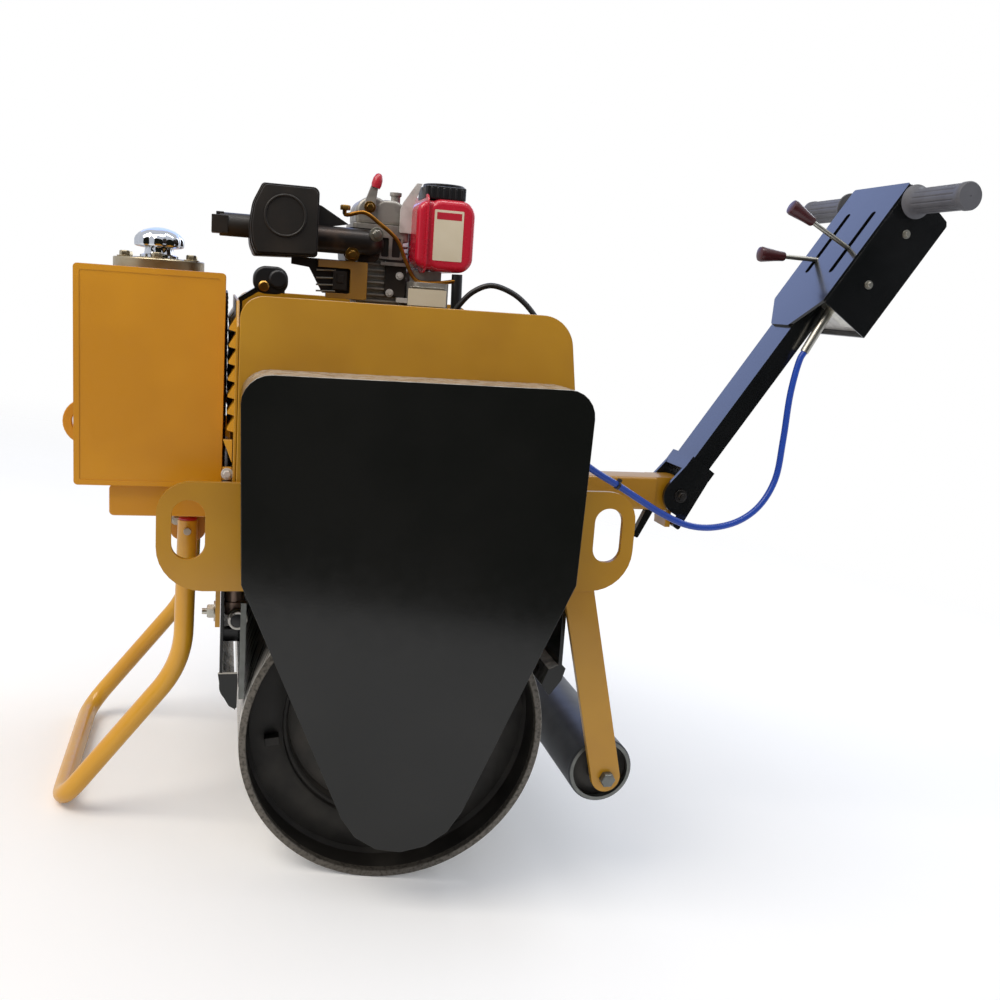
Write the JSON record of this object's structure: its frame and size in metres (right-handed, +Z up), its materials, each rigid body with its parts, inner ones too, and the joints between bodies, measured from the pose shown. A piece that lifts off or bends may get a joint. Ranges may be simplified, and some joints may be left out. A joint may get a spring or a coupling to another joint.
{
  "type": "walk-behind single-drum vibratory roller",
  "caption": "Walk-behind vibratory roller with a smooth steel drum, rear guide roller, tilting handle with control box, folding front stand and upright diesel engine",
  "frame": {"origin": "On the ground under the middle of the whole machine, parked on its drum and its front stand", "axes": "+X to the front of the machine (oil tank), +Y to its left, +Z up; metres"},
  "size_m": [1.3216, 0.77, 1.1681],
  "materials": {
    "yellow_paint": "satin",
    "black_paint": "satin",
    "red_paint": "gloss",
    "ochre_paint": "satin",
    "charcoal_steel": "matte",
    "drum_steel": "satin",
    "roller_steel": "satin",
    "pipe_steel": "satin",
    "zinc_steel": "satin",
    "chrome": "polished",
    "cast_aluminium": "matte",
    "cast_iron": "matte",
    "grip_rubber": "matte",
    "black_plastic": "matte",
    "red_plastic": "gloss",
    "blue_plastic": "satin"
  },
  "bodies": {
    "chassis": {"left_drum_cover": "black_paint", "right_drum_cover": "black_paint", "main_frame": "yellow_paint", "left_side_plate": "yellow_paint", "right_side_plate": "yellow_paint", "left_body_panel": "yellow_paint", "right_body_panel": "yellow_paint", "front_panel": "yellow_paint", "rear_panel": "yellow_paint", "left_roller_leg": "yellow_paint", "right_roller_leg": "yellow_paint", "guide_roller_axle": "zinc_steel", "front_scraper": "black_paint", "rear_scraper": "black_paint", "spray_pipe": "pipe_steel", "front_crossbeam": "yellow_paint", "oil_tank": "yellow_paint", "filler_flange": "zinc_steel", "filler_cap": "chrome", "lifting_eye": "yellow_paint", "left_stand_bracket": "yellow_paint", "right_stand_bracket": "yellow_paint", "crankcase": "cast_aluminium", "cylinder": "cast_aluminium", "rocker_cover": "cast_aluminium", "decompression_lever": "red_plastic", "muffler": "charcoal_steel", "muffler_bracket": "ochre_paint", "exhaust_elbow": "cast_iron", "cooling_shroud": "cast_aluminium", "recoil_starter": "black_plastic", "hydraulic_pump": "cast_aluminium", "fuel_tank": "red_paint", "fuel_cap": "black_plastic", "air_cleaner": "black_plastic", "instrument_box": "black_plastic", "handle_beam": "yellow_paint", "latch_lever": "black_paint", "cable_gland": "black_plastic", "control_cable": "blue_plastic", "throttle_cable": "black_plastic"},
    "drum": {"drum": "drum_steel"},
    "guide_roller": {"guide_roller": "roller_steel"},
    "front_stand": {"front_stand": "yellow_paint"},
    "handle": {"handle_arm": "black_paint", "control_box": "black_paint", "control_plate": "black_paint", "control_levers": "zinc_steel", "handlebar": "zinc_steel", "left_grip": "grip_rubber", "right_grip": "grip_rubber", "cable_fitting": "zinc_steel"}
  },
  "joints": [
    {"name": "drum_spin", "type": "hinge", "parent": "chassis", "child": "drum", "pos_m": [0.13945, 0, 0.21248], "axis": [0, 1, 0], "continuous": true},
    {"name": "guide_roller_spin", "type": "hinge", "parent": "chassis", "child": "guide_roller", "pos_m": [-0.18385, 0, 0.18537], "axis": [0, 1, 0], "continuous": true},
    {"name": "handle_tilt", "type": "hinge", "parent": "chassis", "child": "handle", "pos_m": [-0.32084, 0, 0.58534], "axis": [0, 1, 0], "range_deg": [0, 40], "deforming": ["control_cable"]},
    {"name": "stand_fold", "type": "hinge", "parent": "chassis", "child": "front_stand", "pos_m": [0.46009, 0, 0.43401], "axis": [0, -1, 0], "range_deg": [0, 90]}
  ]
}
